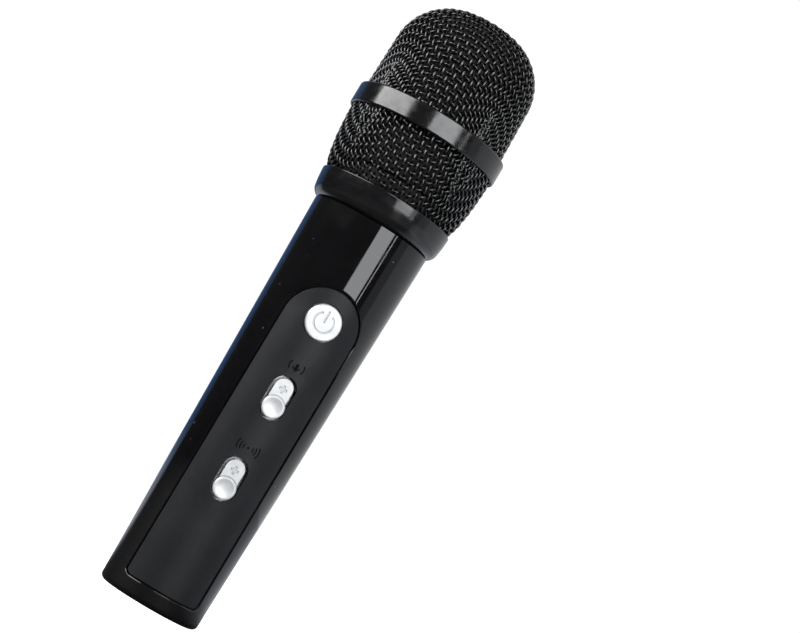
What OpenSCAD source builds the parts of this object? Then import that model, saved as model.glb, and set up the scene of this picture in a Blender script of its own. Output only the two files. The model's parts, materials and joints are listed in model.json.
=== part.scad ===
// Cordless hand microphone for karaoke, standing on its foot: +Z runs up to the grille,
// and the control panel faces -Y. All sizes are in millimetres.

/* [Barrel] */
// Radius that the tapered side would have at the foot plane
barrel_foot_r = 19.35; // [19.2:0.05:19.6]
// Growth of the barrel's radius per millimetre of height
barrel_taper = 0.0229; // [0.0222:0.0001:0.0236]
// Wall thickness of the barrel and of its floor
barrel_wall = 2.2; // [2:0.1:2.3]
// Rounding of the foot's edge
foot_round = 2; // [1.2:0.1:2.2]
// Height of the barrel's top edge
barrel_top_z = 154.4; // [154:0.1:154.4]

/* [Control panel] */
// Half of the panel's width
panel_half_w = 13.8; // [13.4:0.1:14]
// Height of the panel's lower edge
panel_low_z = 7; // [6.5:0.1:8]
// Height of the centre of the panel's round top
panel_arc_z = 113.2; // [113:0.1:114]
// Rounding of the panel's lower corners
panel_corner = 1.8; // [1.2:0.1:2.4]
// How far the panel's face lies below the barrel's surface
panel_recess = 0.25; // [0.15:0.05:0.35]
// Wall thickness of the panel
panel_wall = 1.6; // [1.4:0.1:1.7]
// Width of the groove round the panel
panel_gap = 0.45; // [0.3:0.05:0.6]

/* [Power button] */
// Height of the button's centre
button_z = 115; // [114:0.5:116]
// Radius of the button's cap
button_r = 6.5; // [6.2:0.1:6.6]
// Travel of the button when it is pressed
button_travel = 0.6; // [0.4:0.1:0.8]

/* [Level sliders] */
// Height of the middle of the microphone level slot
mic_slot_z = 84.6; // [84:0.1:86]
// Height of the middle of the echo level slot
echo_slot_z = 52.1; // [51:0.1:53]
// Half of each slot's width
slot_half_w = 4.65; // [4.6:0.05:4.7]
// Radius of the round slider knob
knob_r = 4.1; // [4.1:0.05:4.2]
// Distance from the middle of the slot to the knob at either end
knob_throw = 3.5; // [3:0.1:3.5]

/* [Collar] */
// Height of the collar's underside
collar_low_z = 154.6; // [154.6:0.1:154.8]
// Height of the collar's top edge
collar_top_z = 165.4; // [165:0.1:166]
// Largest radius of the collar
collar_r = 26.1; // [26:0.1:26.3]

/* [Grille head] */
// Height of the top of the dome
total_h = 240; // [238:1:242]
// Height of the band's lower edge
band_low_z = 190.3; // [190:0.1:190.6]
// Height of the band's upper edge
band_top_z = 198.4; // [198.2:0.1:198.8]
// Outer radius of the band
band_r = 29.8; // [29.7:0.1:30]
// Radius of the dome's rounded shoulder
dome_round = 20.5; // [20.5:0.5:21]
// Distance from the axis to the centre of the shoulder's arc
dome_arc_r = 7.1; // [6.8:0.1:7.2]
// Thickness of the woven grille, wire over wire
grille_t = 1.3; // [1.2:0.1:1.4]
// Thickness of the foam behind the dome
foam_t = 4; // [3:0.5:4.5]

/* [Hidden] */
$fn = 96;

tiny = 0.01;
reach = 30;
barrel_top_r = barrel_foot_r + barrel_taper * barrel_top_z;
slope_len = sqrt(1 + barrel_taper * barrel_taper);
foot_arc_r = barrel_foot_r + barrel_taper * foot_round - foot_round * slope_len;

// Panel lip behind the barrel's window
lip_grow = 1.3;
lip_top = barrel_wall + 0.1;
lip_low = barrel_wall + 1.1;

// Board, seen from the front: its front face carries the switch and the sliders
board_front_y = -11;
board_t = 1.2;
board_back_y = board_front_y + board_t;
board_half_w = 11.5;
board_low_z = 16;
board_top_z = 131;
screw_x = 7.5;
screw_zs = [26, 101];

// Level sliders
slot_half_l = knob_throw + knob_r + 0.7;
plate_half_w = 3.45;
plate_half_l = 7.3;
plate_t = 0.9;
plate_depth = 0.9;
knob_proud = 0.9;
knob_lift = 0.1;
leg_in = 3.55;
leg_out = 3.95;
leg_half_z = 1;
mark_rise = 12.4;
mark_depth = 0.3;
engraving = 0.25;
pot_front_y = -15;
lever_low_y = -14;

// Power button
button_gap = 0.4;
button_front_y = -22.35;
flange_front_y = -18.45;
flange_t = 0.85;
flange_r = 7.4;
plunger_front_y = -16;
plunger_back_y = -13;
plunger_r = 1.75;

// Battery
cell_r = 9.2;
cell_y = 6.6;
cell_low_z = 24;
cell_top_z = 89;
tray_wall = 0.95;
tray_gap = 0.15;
tray_low_z = 19;
tray_top_z = 94;
tray_end_t = 2;

// Charging socket and its board
socket_half_x = 4.47;
socket_half_y = 1.58;
socket_y = -0.78;
socket_low_z = 0.5;
socket_len = 8;
socket_wall = 0.3;
charge_board_y = 0.8;
charge_board_back_y = 2.1;
charge_screw_x = 6.6;
charge_screw_z = 12.5;

// Heights that a cut from the barrel's own cone runs between
cut_low_z = -1;
cut_high_z = 158;

// Neck and grille
neck_bore_r = 18;
neck_low_z = 140;
neck_flange_r = 23.2;
neck_flange_z = collar_low_z + 2;
neck_flange_t = 2;
neck_screw_r = 18.3;
thread_r = 21.6;
thread_fit = 0.3;
lower_end_z = 162.4;
grille_foot_r = 24.8;
web_low_z = 193.8;
web_top_z = 195;
dome_arc_z = total_h - dome_round;
dome_side_r = dome_arc_r + dome_round;
upper_foot_r = 28.2;
foam_low_z = 172;
foam_low_r = 24.9;
foam_low_t = 3;

// Capsule, from its post up
post_low_z = 164;
post_top_z = 183;
post_foot_t = 3;
post_head_t = 3;
housing_low_z = 185;
housing_top_z = 206;
housing_r = 13;
housing_wall = 1.2;
housing_floor = 2;
mount_wall = 2;
mount_top_z = 192;
magnet_top_z = 199;

function barrel_r(z) = barrel_foot_r + barrel_taper * z;
function plate_front_y(z) = -(barrel_r(z) - panel_recess - plate_depth);

// ---- helpers ----

// A solid cone whose side lies a constant depth below the barrel's surface
module under_surface(depth, z0 = 0, z1 = 156) {
    translate([0, 0, z0])
        cylinder(h = z1 - z0, r1 = barrel_r(z0) - depth, r2 = barrel_r(z1) - depth);
}

// Pushes a flat outline, drawn in x and z, out towards the front from y0 to y1
module front_prism(y0 = 0, y1 = -reach) {
    translate([0, y0, 0])
        rotate([90, 0, 0])
            linear_extrude(y0 - y1)
                children();
}

// A round bar along Y, from y0 back to y1, where y0 is nearer the front
module bar_y(x, z, r, y0, y1) {
    translate([x, y1, z])
        rotate([90, 0, 0])
            cylinder(h = y1 - y0, r = r);
}

// A block given by its lowest and highest corners
module block(low, high) {
    translate(low)
        cube(high - low);
}

// An upright stadium, centred on the origin
module stadium(half_w, half_l) {
    for (end = [-1, 1])
        translate([0, end * (half_l - half_w)])
            circle(r = half_w);
    square([2 * half_w, 2 * (half_l - half_w)], center = true);
}

// The panel's outline, larger all round by grow
module panel_outline(grow) {
    w = panel_half_w + grow;
    low = panel_low_z - grow;
    corner = panel_corner + max(grow, 0);
    translate([0, panel_arc_z])
        circle(r = w);
    translate([-w, low + corner])
        square([2 * w, panel_arc_z - low - corner]);
    translate([-w + corner, low])
        square([2 * (w - corner), corner + tiny]);
    for (side = [-1, 1])
        translate([side * (w - corner), low + corner])
            circle(r = corner);
}

// A small screw along Y: its head's underside is at y, and its shank points to the front
module screw_front(x, z, y, length, r, head_r, head_t) {
    difference() {
        bar_y(x, z, head_r, y, y + head_t);
        translate([x, y + head_t, z])
            for (turn = [0, 90])
                rotate([0, turn, 0])
                    cube([head_r * 1.3, 0.8, head_r * 0.35], center = true);
    }
    bar_y(x, z, r, y - length, y);
}

// A wire through points that share one x, with round corners
module wire(x, route, r) {
    for (i = [0 : len(route) - 2]) {
        step = route[i + 1] - route[i];
        translate([x, route[i][0], route[i][1]])
            rotate([-atan2(step[0], step[1]), 0, 0])
                cylinder(h = norm(step), r = r, $fn = 24);
    }
    for (i = [1 : len(route) - 2])
        translate([x, route[i][0], route[i][1]])
            sphere(r = r, $fn = 24);
}

// ---- barrel, collar and neck ----

module barrel_shell() {
    color("#141416")
        difference() {
            rotate_extrude($fn = 180)
                union() {
                    polygon([
                        [0, 0],
                        [foot_arc_r, 0],
                        [foot_arc_r + foot_round / slope_len, foot_round * (1 - barrel_taper / slope_len)],
                        [barrel_top_r, barrel_top_z],
                        [0, barrel_top_z]
                    ]);
                    translate([foot_arc_r, foot_round])
                        circle(r = foot_round);
                }
            under_surface(barrel_wall, z0 = barrel_wall);
            front_prism()
                panel_outline(panel_gap);
            // opening for the charging plug
            translate([0, socket_y, -1])
                linear_extrude(5)
                    rotate(90)
                        stadium(socket_half_y + 0.3, socket_half_x + 0.3);
        }
}

module collar_ring() {
    side_low_z = collar_low_z + 4;
    side_low_r = collar_r - 0.6;
    low_r = collar_r - 4.1;
    belly_r = 4;
    inner_r = neck_bore_r + 2.4;
    color("#101012")
        rotate_extrude($fn = 180)
            difference() {
                union() {
                    polygon([
                        [inner_r, collar_low_z],
                        [low_r, collar_low_z],
                        [side_low_r, side_low_z],
                        [collar_r, collar_top_z - 0.4],
                        [collar_r - 0.25, collar_top_z],
                        [inner_r, collar_top_z]
                    ]);
                    // belly that rounds the side into the underside
                    intersection() {
                        translate([side_low_r - belly_r, side_low_z])
                            circle(r = belly_r);
                        translate([low_r, collar_low_z])
                            square([belly_r, belly_r]);
                    }
                }
                // room for the neck ring's flange, and above it for the grille's foot
                translate([neck_bore_r, neck_flange_z])
                    square([neck_flange_r + 0.1 - neck_bore_r, 20]);
                translate([neck_bore_r, side_low_z + 0.1])
                    square([grille_foot_r + 0.3 - neck_bore_r, 20]);
            }
}

module neck_ring() {
    low_z = neck_low_z;
    spigot_r = 20.2;
    inner_r = 16.4;
    thread_len = 15.4;
    pilot_r = 0.85;
    pilot_len = 7;
    color("#2b2b2e")
        difference() {
            union() {
                translate([0, 0, low_z])
                    cylinder(h = neck_flange_z + 1 - low_z, r = spigot_r);
                translate([0, 0, neck_flange_z])
                    cylinder(h = neck_flange_t, r = neck_flange_r);
                translate([0, 0, neck_flange_z])
                    cylinder(h = thread_len, r = thread_r);
            }
            translate([0, 0, low_z - 1])
                cylinder(h = reach, r = inner_r);
            // seat of the capsule post
            translate([0, 0, post_low_z])
                cylinder(h = reach, r = neck_bore_r);
            for (turn = [30 : 120 : 270])
                rotate(turn)
                    translate([neck_screw_r, 0, low_z - 1])
                        cylinder(h = pilot_len + 1, r = pilot_r, $fn = 32);
        }
}

// Screws driven into the neck ring's underside
module neck_screws() {
    head_t = 1.1;
    head_r = 1.5;
    shank_len = 6;
    shank_r = 0.8;
    color("#b9bcc0")
        for (turn = [30 : 120 : 270])
            rotate(turn)
                translate([neck_screw_r, 0, 0]) {
                    translate([0, 0, neck_low_z - head_t])
                        cylinder(h = head_t, r = head_r, $fn = 32);
                    translate([0, 0, neck_low_z - 0.1])
                        cylinder(h = shank_len, r = shank_r, $fn = 32);
                }
}

// ---- control panel ----

module slot_cut(z) {
    front_prism()
        translate([0, z])
            stadium(slot_half_w, slot_half_l);
}

// Flat pictogram of a small microphone between two sound waves
module mic_mark() {
    stadium(0.55, 1.2);
    difference() {
        circle(r = 1.35);
        circle(r = 0.95);
        translate([-2, 0])
            square([4, 2]);
    }
    translate([-0.2, -1.9])
        square([0.4, 0.8]);
    wave_pair(3.0, 35);
}

// Flat pictogram of a sound that comes back again and again
module echo_mark() {
    circle(r = 0.45, $fn = 24);
    for (size = [2, 3.2, 4.4])
        wave_pair(size, 28);
}

// Two opposite arcs of a thin ring, left and right of the origin
module wave_pair(size, spread) {
    far = size + 1;
    intersection() {
        difference() {
            circle(r = size);
            circle(r = size - 0.45);
        }
        union() {
            polygon([[0, 0], [far, far * tan(spread)], [far, -far * tan(spread)]]);
            polygon([[0, 0], [-far, far * tan(spread)], [-far, -far * tan(spread)]]);
        }
    }
}

// Both pictograms, each over its slot
module panel_mark_outlines() {
    translate([0, mic_slot_z + mark_rise])
        mic_mark();
    translate([0, echo_slot_z + mark_rise])
        echo_mark();
}

module control_panel() {
    face = panel_recess;
    color("#3a3b3e")
        difference() {
            union() {
                intersection() {
                    front_prism()
                        panel_outline(0);
                    difference() {
                        under_surface(face);
                        under_surface(lip_low, cut_low_z, cut_high_z);
                    }
                }
                intersection() {
                    front_prism()
                        panel_outline(lip_grow);
                    difference() {
                        under_surface(lip_top);
                        under_surface(lip_low, cut_low_z, cut_high_z);
                    }
                }
            }
            // hollow back
            intersection() {
                front_prism()
                    panel_outline(-1.2);
                under_surface(face + panel_wall);
            }
            bar_y(0, button_z, button_r + button_gap, -reach, 0);
            slot_cut(mic_slot_z);
            slot_cut(echo_slot_z);
            difference() {
                front_prism()
                    panel_mark_outlines();
                under_surface(face + mark_depth);
            }
        }
    // bosses for the board
    color("#3a3b3e")
        intersection() {
            under_surface(face + panel_wall - 0.2);
            for (z = screw_zs, side = [-1, 1])
                difference() {
                    bar_y(side * screw_x, z, 2.2, -reach, board_front_y);
                    bar_y(side * screw_x, z, 0.9, board_front_y - 4.4, board_front_y + 1);
                }
        }
}

// Ink in the bottom of the sunk pictograms
module panel_marks() {
    color("#050505")
        intersection() {
            front_prism()
                panel_mark_outlines();
            difference() {
                under_surface(panel_recess + 0.15);
                under_surface(panel_recess + mark_depth, cut_low_z, cut_high_z);
            }
        }
}

// ---- level sliders ----

// Silver island with a plus above and a minus below, held on two posts
module level_plate(z) {
    front = plate_front_y(z);
    post_z = 6.4;
    color("#d9dbde")
        translate([0, 0, z])
            difference() {
                union() {
                    front_prism(front + plate_t, front)
                        stadium(plate_half_w, plate_half_l);
                    for (end = [-1, 1])
                        block([-1.5, front + plate_t - tiny, end * post_z - 0.8],
                            [1.5, pot_front_y, end * post_z + 0.8]);
                }
                front_prism(front + engraving, front - 1)
                    for (bar = [[knob_throw, 3, 0.8], [knob_throw, 0.8, 3], [-knob_throw, 3, 0.8]])
                        translate([0, bar[0]])
                            square([bar[1], bar[2]], center = true);
            }
}

module mic_level_plate() {
    level_plate(mic_slot_z);
}

module echo_level_plate() {
    level_plate(echo_slot_z);
}

// Round dished knob, its two legs in the slot's side gaps and the bridge under the plate
module level_knob(z) {
    dish_r = 13;
    dish_t = 0.4;
    front = plate_front_y(z);
    cap_front = front - plate_depth - knob_proud;
    cap_back = front - knob_lift;
    bridge_front = front + plate_t + 0.3;
    rim = 0.35;
    color("#dfe1e4")
        translate([0, 0, z - knob_throw]) {
            difference() {
                union() {
                    bar_y(0, 0, knob_r, cap_front + rim, cap_back);
                    translate([0, cap_front, 0])
                        rotate([-90, 0, 0])
                            cylinder(h = rim, r1 = knob_r - rim, r2 = knob_r);
                    for (side = [-1, 1])
                        block([side < 0 ? -leg_out : leg_in, cap_back - 1, -leg_half_z],
                            [side < 0 ? -leg_in : leg_out, bridge_front + 0.8, leg_half_z]);
                    block([-leg_out, bridge_front, -leg_half_z], [leg_out, bridge_front + 0.8, leg_half_z]);
                }
                // shallow dish
                translate([0, cap_front + dish_t - dish_r, 0])
                    sphere(r = dish_r);
            }
        }
}

module mic_level_knob() {
    level_knob(mic_slot_z);
}

module echo_level_knob() {
    level_knob(echo_slot_z);
}

// Metal slide potentiometer, with a pocket for its lever
module level_pot(z) {
    color("#8f9296")
        translate([0, 0, z])
            difference() {
                block([-4.5, pot_front_y, -11], [4.5, board_front_y, 11]);
                block([-1, pot_front_y - 1, -5.4], [1, -13.4, 5.4]);
            }
}

module mic_level_pot() {
    level_pot(mic_slot_z);
}

module echo_level_pot() {
    level_pot(echo_slot_z);
}

// Lever that stands in the potentiometer and carries the knob's bridge
module level_lever(z) {
    bridge_back = plate_front_y(z) + plate_t + 1.1;
    color("#f0efe9")
        translate([0, 0, z - knob_throw])
            block([-0.75, bridge_back, -leg_half_z], [0.75, lever_low_y, leg_half_z]);
}

module mic_level_lever() {
    level_lever(mic_slot_z);
}

module echo_level_lever() {
    level_lever(echo_slot_z);
}

// ---- power button ----

// Open ring with an upright stroke through its gap
module power_mark() {
    stroke = 0.65;
    ring_r = 3.9;
    difference() {
        circle(r = ring_r);
        circle(r = ring_r - stroke);
        polygon([[0, 0], [3, 5], [-3, 5]]);
    }
    translate([-stroke / 2, 0])
        square([stroke, ring_r + 0.6]);
}

module power_button() {
    bevel = 0.35;
    color("#dfe1e4")
        difference() {
            union() {
                bar_y(0, button_z, button_r, button_front_y + bevel, flange_front_y);
                translate([0, button_front_y, button_z])
                    rotate([-90, 0, 0])
                        cylinder(h = bevel, r1 = button_r - bevel, r2 = button_r);
                bar_y(0, button_z, flange_r, flange_front_y, flange_front_y + flange_t);
                bar_y(0, button_z, 2, flange_front_y, plunger_front_y);
            }
            // hollow back round the stem
            difference() {
                bar_y(0, button_z, 5.5, button_front_y + 1.4, flange_front_y + 2);
                bar_y(0, button_z, 2, button_front_y, plunger_front_y + 1);
            }
            translate([0, 0, button_z])
                front_prism(button_front_y + engraving, button_front_y - 1)
                    power_mark();
        }
}

module power_plunger() {
    color("#202022")
        bar_y(0, button_z, plunger_r, plunger_front_y, plunger_back_y);
}

module power_switch() {
    color("#a4a7ab")
        difference() {
            block([-3, -14.5, button_z - 3], [3, board_front_y, button_z + 3]);
            bar_y(0, button_z, plunger_r + 0.08, -15, plunger_back_y + button_travel + 0.4);
        }
}

// ---- board and what stands on it ----

module main_board() {
    color("#1d5a3a")
        difference() {
            block([-board_half_w, board_front_y, board_low_z], [board_half_w, board_back_y, board_top_z]);
            for (z = screw_zs, side = [-1, 1])
                bar_y(side * screw_x, z, 1.1, board_front_y - 1, board_back_y + 1);
        }
}

module board_screws() {
    color("#b9bcc0")
        for (z = screw_zs, side = [-1, 1])
            screw_front(side * screw_x, z, board_back_y, 5, 0.85, 1.7, 1.1);
}

module board_chips() {
    color("#18181a") {
        block([-4, board_back_y, 96], [1, board_back_y + 1.4, 101.5]);
        block([-3.2, board_front_y - 1.5, 65.2], [3.2, board_front_y, 70.8]);
        block([-2.5, board_front_y - 1.5, 30], [2.5, board_front_y, 36]);
    }
}

module radio_shield() {
    color("#c4c7ca")
        difference() {
            block([-9, board_back_y, 104], [6, board_back_y + 2.4, 121]);
            block([-8.6, board_back_y - 1, 104.4], [5.6, board_back_y + 2, 120.6]);
        }
}

module antenna_rod() {
    color("#c79a4a")
        translate([-7, board_back_y + 1.2, 121])
            cylinder(h = 15, r = 0.6);
}

module lead_connector() {
    color("#e9e6dc")
        difference() {
            block([1, board_back_y, 123], [8, board_back_y + 3.4, 129]);
            block([1.8, board_back_y + 0.8, 124.5], [7.2, board_back_y + 2.6, 130]);
        }
}

// ---- battery and charging ----

module battery_tray() {
    tray_r = cell_r + tray_gap + tray_wall;
    color("#26272a")
        difference() {
            union() {
                translate([0, cell_y, tray_low_z])
                    cylinder(h = tray_top_z - tray_low_z, r = tray_r);
                for (side = [-1, 1])
                    block([side < 0 ? -11.2 : 9.9, board_back_y, 30], [side < 0 ? -9.9 : 11.2, cell_y, 90]);
                block([-9, charge_board_back_y, 4], [9, charge_board_back_y + 1.5, tray_low_z + 0.5]);
            }
            translate([0, cell_y, tray_low_z + tray_end_t])
                cylinder(h = tray_top_z - tray_low_z - 2 * tray_end_t, r = cell_r + tray_gap);
            block([-9.5, -20, tray_low_z + 0.6], [9.5, 2, 100]);
            for (side = [-1, 1])
                bar_y(side * charge_screw_x, charge_screw_z, 0.75, 0, 5);
        }
}

module battery_cell() {
    color("#2f6fb3") {
        translate([0, cell_y, cell_low_z])
            cylinder(h = cell_top_z - cell_low_z - 1, r = cell_r);
        translate([0, cell_y, cell_top_z - 1 - tiny])
            cylinder(h = 1, r = 3.2);
    }
}

module battery_contacts() {
    top_z = cell_top_z - tiny;
    color("#d0b25c") {
        translate([0, cell_y, top_z])
            cylinder(h = tray_top_z - tray_end_t - top_z, r = 4);
        translate([0, cell_y, tray_low_z + tray_end_t])
            cylinder(h = cell_low_z - tray_low_z - tray_end_t, r = 4);
    }
}

// Leads from the tray's two ends to the board
module battery_leads() {
    pad_z = 98.6;
    lead_r = 0.6;
    color("#b3202a")
        wire(-5, [[cell_y, tray_top_z], [cell_y, pad_z], [board_back_y, pad_z]], lead_r);
    color("#b3202a")
        wire(5, [[4.4, tray_top_z], [4.4, pad_z], [board_back_y, pad_z]], lead_r);
}

module charge_board() {
    color("#1d5a3a")
        difference() {
            block([-8.5, charge_board_y, 4.2], [8.5, charge_board_back_y, 16.5]);
            for (side = [-1, 1])
                bar_y(side * charge_screw_x, charge_screw_z, 0.9, 0, 3);
        }
}

module charge_board_screws() {
    color("#b9bcc0")
        for (side = [-1, 1])
            mirror([0, 1, 0])
                screw_front(side * charge_screw_x, charge_screw_z, -charge_board_y, 2.6, 0.7, 1.4, 0.9);
}

// Reversible charging socket: a metal sleeve and the tongue inside it
module charge_socket() {
    color("#c4c7ca")
        translate([0, socket_y, socket_low_z]) {
            difference() {
                linear_extrude(socket_len)
                    rotate(90)
                        stadium(socket_half_y, socket_half_x);
                translate([0, 0, -1])
                    linear_extrude(socket_len - 0.5)
                        rotate(90)
                            stadium(socket_half_y - socket_wall, socket_half_x - socket_wall);
            }
            translate([-3.3, -0.35, 1])
                cube([6.6, 0.7, socket_len - 2]);
        }
}

// ---- capsule ----

module capsule_post() {
    stem_r = 8.5;
    head_r = 12;
    bore_r = 6;
    color("#2b2b2e")
        difference() {
            union() {
                translate([0, 0, post_low_z])
                    cylinder(h = post_foot_t, r = neck_bore_r - 0.1);
                translate([0, 0, post_low_z])
                    cylinder(h = post_top_z - post_low_z - 1, r = stem_r);
                translate([0, 0, post_top_z - post_head_t])
                    cylinder(h = post_head_t, r = head_r);
            }
            translate([0, 0, post_low_z - 1])
                cylinder(h = reach, r = bore_r);
        }
}

module capsule_mount() {
    lead_hole_r = 5;
    color("#1a1a1a")
        difference() {
            translate([0, 0, post_top_z])
                cylinder(h = mount_top_z - post_top_z, r = housing_r + mount_wall);
            translate([0, 0, housing_low_z])
                cylinder(h = reach, r = housing_r);
            translate([0, 0, post_top_z - 1])
                cylinder(h = reach, r = lead_hole_r);
        }
}

module capsule_housing() {
    lead_hole_r = 3;
    color("#3b3c40")
        difference() {
            translate([0, 0, housing_low_z])
                cylinder(h = housing_top_z - housing_low_z, r = housing_r);
            translate([0, 0, housing_low_z + housing_floor])
                cylinder(h = reach, r = housing_r - housing_wall);
            translate([0, 0, housing_low_z - 1])
                cylinder(h = reach, r = lead_hole_r);
        }
}

// Ground yoke with the ring-shaped air gap of a moving coil
module capsule_magnet() {
    gap_low_z = magnet_top_z - 5;
    gap_in = 5.5;
    gap_out = 7.5;
    yoke_r = 9.5;
    vent_r = 1.5;
    color("#7d8085")
        difference() {
            translate([0, 0, housing_low_z + housing_floor])
                cylinder(h = magnet_top_z - housing_low_z - housing_floor, r = yoke_r);
            translate([0, 0, housing_low_z])
                cylinder(h = reach, r = vent_r);
            difference() {
                translate([0, 0, gap_low_z])
                    cylinder(h = 10, r = gap_out);
                translate([0, 0, gap_low_z - 1])
                    cylinder(h = 12, r = gap_in);
            }
        }
}

// Cover with one hole in the middle and two rings of holes round it
module capsule_cover() {
    cover_t = 1.2;
    hole_r = 1;
    rings = [[6, 4], [12, 7.5]];
    color("#c0c2c6")
        difference() {
            translate([0, 0, housing_top_z])
                cylinder(h = cover_t, r = housing_r);
            translate([0, 0, housing_top_z - 1])
                cylinder(h = 3, r = hole_r, $fn = 24);
            for (row = rings, i = [0 : row[0] - 1])
                rotate(i * 360 / row[0])
                    translate([row[1], 0, housing_top_z - 1])
                        cylinder(h = 3, r = hole_r, $fn = 24);
        }
}

// Leads from the capsule down through the post to the board's connector
module capsule_leads() {
    plug_y = board_back_y + 1.7;
    wire_r = 0.5;
    route = [[0, housing_low_z], [0, 140], [plug_y, 132], [plug_y, 124.5]];
    color("#b3202a")
        wire(2.6, route, wire_r);
    color("#b3202a")
        wire(4.4, route, wire_r);
}

// ---- grille head ----

// Outline of the dome, smaller by depth, from the given height up
module dome_outline(depth, low_z) {
    shoulder = dome_round - depth;
    foot_r = upper_foot_r - depth;
    polygon([
        [0, low_z],
        [foot_r, low_z],
        [dome_side_r - depth, dome_arc_z],
        [dome_arc_r, dome_arc_z + shoulder],
        [0, dome_arc_z + shoulder]
    ]);
    intersection() {
        translate([dome_arc_r, dome_arc_z])
            circle(r = shoulder, $fn = 180);
        translate([dome_arc_r, dome_arc_z])
            square([shoulder + 1, shoulder + 1]);
    }
}

module grille_upper() {
    color("#2a2a2c")
        rotate_extrude($fn = 120)
            difference() {
                dome_outline(0, web_top_z + 0.1);
                dome_outline(grille_t, web_top_z);
            }
}

module grille_band() {
    edge = 0.7;
    web_r = 25.4;
    skirt_r = 29.05;
    color("#101012")
        rotate_extrude($fn = 180)
            polygon([
                [band_r - edge, band_low_z],
                [band_r, band_low_z + edge],
                [band_r, band_top_z - edge],
                [band_r - edge, band_top_z],
                [upper_foot_r + 0.1, band_top_z],
                [upper_foot_r + 0.1, web_top_z],
                [web_r, web_top_z],
                [web_r, web_low_z],
                [skirt_r, web_low_z],
                [skirt_r, band_low_z]
            ]);
}

// The lower grille stands upright inside the collar, bulges out over its lip, then widens up to the band
lower_steps = [
    [lower_end_z, grille_foot_r],
    [collar_top_z + 0.2, grille_foot_r],
    [167.4, 26],
    [171, 27],
    [178, 28.1],
    [186, 28.7],
    [web_low_z, 28.9]
];

// Outline of the cone under the band, smaller by depth
module cone_outline(depth) {
    polygon([
        [0, lower_end_z],
        for (step = lower_steps) [step[1] - depth, step[0]],
        [0, web_low_z]
    ]);
}

module grille_lower() {
    color("#2a2a2c")
        rotate_extrude($fn = 120)
            difference() {
                cone_outline(0);
                cone_outline(grille_t);
                translate([0, web_low_z - 0.1])
                    square([reach, 1]);
            }
}

module grille_thread_ring() {
    low_z = collar_low_z + 4.4;
    ring_len = 12.5;
    sleeve_r = 23.2;
    color("#232326")
        difference() {
            union() {
                translate([0, 0, low_z])
                    cylinder(h = lower_end_z - low_z - 0.1, r = grille_foot_r);
                translate([0, 0, low_z])
                    cylinder(h = ring_len, r = sleeve_r);
            }
            translate([0, 0, low_z - 1])
                cylinder(h = reach, r = thread_r + thread_fit);
        }
}

// Foam skin behind both grilles, thicker in the dome
module foam_liner() {
    outer = grille_t + 0.3;
    color("#1c1c1e")
        rotate_extrude($fn = 96)
            difference() {
                union() {
                    dome_outline(outer, web_top_z + 0.5);
                    translate([0, foam_low_z])
                        square([foam_low_r, web_top_z + 1 - foam_low_z]);
                }
                union() {
                    dome_outline(outer + foam_t, web_top_z);
                    translate([0, foam_low_z - 1])
                        square([foam_low_r - foam_low_t, web_top_z + 3 - foam_low_z]);
                }
            }
}

barrel_shell();
collar_ring();
neck_ring();
neck_screws();
control_panel();
panel_marks();
mic_level_plate();
echo_level_plate();
mic_level_pot();
echo_level_pot();
power_switch();
main_board();
board_screws();
board_chips();
radio_shield();
antenna_rod();
lead_connector();
battery_tray();
battery_cell();
battery_contacts();
battery_leads();
charge_board();
charge_socket();
charge_board_screws();
capsule_post();
capsule_mount();
capsule_housing();
capsule_magnet();
capsule_cover();
capsule_leads();
power_button();
power_plunger();
mic_level_knob();
mic_level_lever();
echo_level_knob();
echo_level_lever();
grille_upper();
grille_band();
grille_lower();
grille_thread_ring();
foam_liner();
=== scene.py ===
"""Looks of a cordless karaoke microphone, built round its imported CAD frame.

Everything is in metres in the frame's own axes: +Z runs up the barrel to the grille, and the
control panel faces -Y. The camera, the lights and the floor come first, then one function for
each material, then one for each piece that is modelled here.
"""

import math

import bmesh
import bpy
import numpy as np
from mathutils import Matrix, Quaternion, Vector
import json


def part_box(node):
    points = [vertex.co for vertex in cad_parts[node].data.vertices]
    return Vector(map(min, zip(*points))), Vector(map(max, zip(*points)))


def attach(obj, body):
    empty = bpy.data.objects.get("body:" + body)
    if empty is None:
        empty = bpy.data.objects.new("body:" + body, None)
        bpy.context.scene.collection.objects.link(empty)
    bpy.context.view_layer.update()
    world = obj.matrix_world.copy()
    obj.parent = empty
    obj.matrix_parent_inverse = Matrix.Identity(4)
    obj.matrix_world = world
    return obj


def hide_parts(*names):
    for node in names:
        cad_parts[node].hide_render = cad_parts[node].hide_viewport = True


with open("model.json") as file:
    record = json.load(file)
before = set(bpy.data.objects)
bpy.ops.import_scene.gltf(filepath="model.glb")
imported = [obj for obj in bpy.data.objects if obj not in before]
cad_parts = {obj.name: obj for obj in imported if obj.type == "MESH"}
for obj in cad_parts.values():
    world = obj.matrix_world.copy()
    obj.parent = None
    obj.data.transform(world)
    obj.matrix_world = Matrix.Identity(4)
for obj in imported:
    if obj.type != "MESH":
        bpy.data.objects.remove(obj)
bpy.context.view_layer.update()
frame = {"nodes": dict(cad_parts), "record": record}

MM = 0.001


# ---------------------------------------------------------------- camera, lights and floor


def polar(azimuth, distance, height):
    """A point round the microphone. Azimuth 0 is in front (-Y), and 90 is to the right (+X)."""
    a = math.radians(azimuth)
    return Vector((distance * math.sin(a), -distance * math.cos(a), height))


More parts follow.
